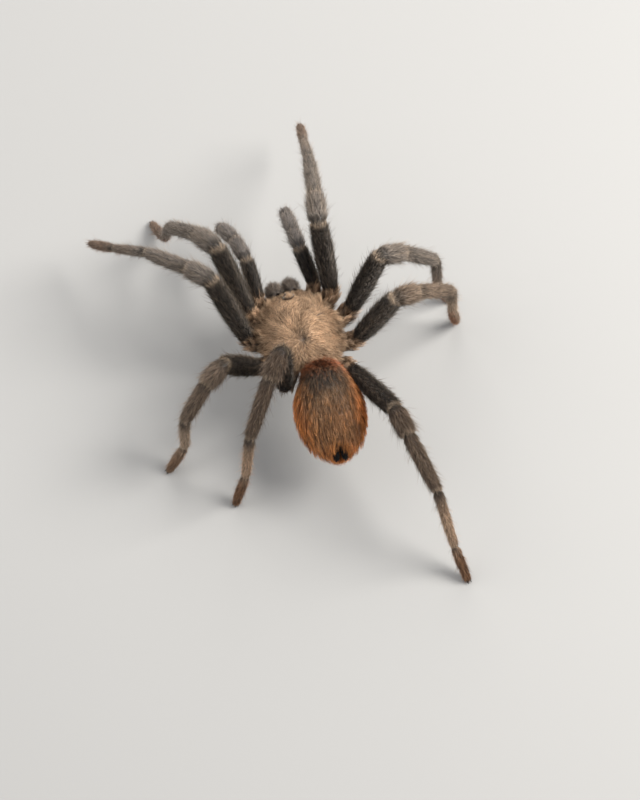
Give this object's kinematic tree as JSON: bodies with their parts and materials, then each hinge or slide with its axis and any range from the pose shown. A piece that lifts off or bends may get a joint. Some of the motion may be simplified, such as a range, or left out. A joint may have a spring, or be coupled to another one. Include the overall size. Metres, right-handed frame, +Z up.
{
  "type": "tarantula",
  "caption": "Life-size still model of a brown tarantula caught in mid-stride: tan carapace, rust-haired oval abdomen, bristly legs and palps.",
  "frame": {"origin": "on the floor under the middle of the whole animal's box", "axes": "+Z up from the floor; the head points to -Y and the animal's left is +X"},
  "size_m": [0.0652, 0.0986, 0.0319],
  "materials": {
    "carapace": "swept tan hair over a dark shell",
    "abdomen": "brown velvet with long rust hair at its sides",
    "femur": "near-black short hair",
    "leg": "grey-brown bristly hair",
    "foot": "grey-brown hair turning rust at the pads",
    "coxa": "brown skin with orange fringes",
    "chelicera": "grey-brown short hair",
    "underside": "black-brown velvet",
    "fang": "glossy black horn",
    "eye_mound": "glossy dark eyes on a small mound",
    "spinneret": "black short hair"
  },
  "bodies": {
    "root": {"abdomen": "abdomen", "carapace": "carapace", "chelicera_L": "chelicera", "chelicera_R": "chelicera", "coxa_L1": "coxa", "coxa_L2": "coxa", "coxa_L3": "coxa", "coxa_L4": "coxa", "coxa_R1": "coxa", "coxa_R2": "coxa", "coxa_R3": "coxa", "coxa_R4": "coxa", "eye_mound": "eye_mound", "fang_L": "fang", "fang_R": "fang", "femur_L1": "femur", "femur_L2": "femur", "femur_L3": "femur", "femur_L4": "femur", "femur_R1": "femur", "femur_R2": "femur", "femur_R3": "femur", "femur_R4": "femur", "foot_L1": "foot", "foot_L2": "foot", "foot_L3": "foot", "foot_L4": "foot", "foot_R1": "foot", "foot_R2": "foot", "foot_R3": "foot", "foot_R4": "foot", "maxilla_L": "coxa", "maxilla_R": "coxa", "palp_femur_L": "femur", "palp_femur_R": "femur", "palp_patella_L": "leg", "palp_patella_R": "leg", "palp_tibia_L": "leg", "palp_tibia_R": "leg", "patella_L1": "leg", "patella_L2": "leg", "patella_L3": "leg", "patella_L4": "leg", "patella_R1": "leg", "patella_R2": "leg", "patella_R3": "leg", "patella_R4": "leg", "pedicel": "underside", "spinneret_L": "spinneret", "spinneret_R": "spinneret", "sternum": "underside", "tibia_L1": "leg", "tibia_L2": "leg", "tibia_L3": "leg", "tibia_L4": "leg", "tibia_R1": "leg", "tibia_R2": "leg", "tibia_R3": "leg", "tibia_R4": "leg"}
  },
  "joints": []
}
